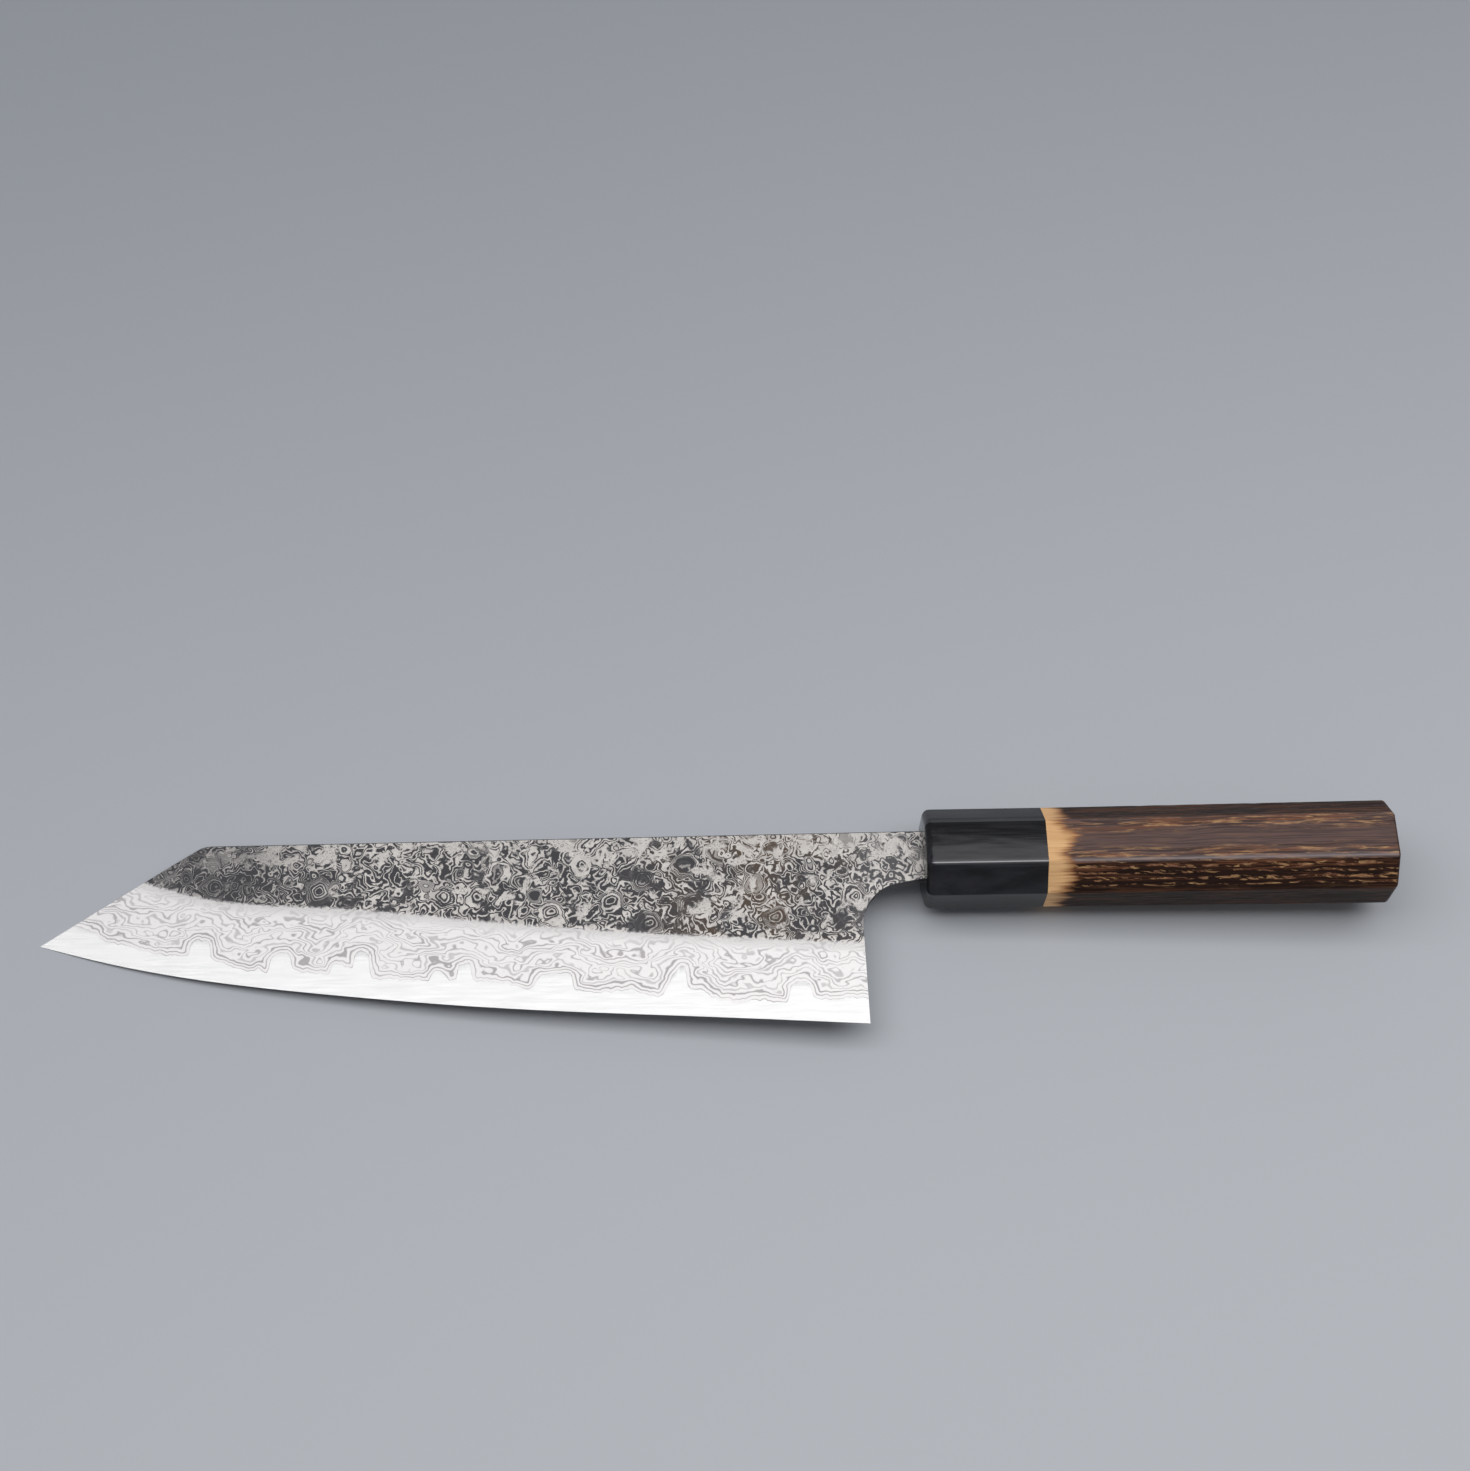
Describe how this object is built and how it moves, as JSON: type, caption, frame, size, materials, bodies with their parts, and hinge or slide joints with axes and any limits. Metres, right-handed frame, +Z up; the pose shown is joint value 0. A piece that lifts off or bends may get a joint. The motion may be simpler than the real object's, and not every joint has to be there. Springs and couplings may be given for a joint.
{
  "type": "kiritsuke knife",
  "caption": "Kitchen knife with a slant-tipped layered blade, dark above the ridge line and bright below it, a black horn ferrule and an octagonal burnt-wood handle.",
  "frame": {"origin": "middle of the knife's bounding box, on the table it lies on", "axes": "+X along the knife from tip to butt, +Y from the cutting edge towards the spine, +Z up out of the blade's left cheek"},
  "size_m": [0.346, 0.0568, 0.0284],
  "materials": {
    "core_steel": "bright satin, stone polished",
    "cladding": "etched layered steel, forge black above the ridge line",
    "horn": "polished black horn",
    "handle_wood": "burnt and waxed, pale by the ferrule",
    "dowel_wood": "plain turned hardwood",
    "resin": "cured clear amber resin",
    "seal": "dark filled resin"
  },
  "bodies": {
    "root": {"core_steel": "core_steel", "left_cladding": "cladding", "right_cladding": "cladding", "ferrule": "horn", "handle_body": "handle_wood", "joining_dowel": "dowel_wood", "tang_adhesive": "resin", "mouth_seal": "seal"}
  },
  "joints": []
}
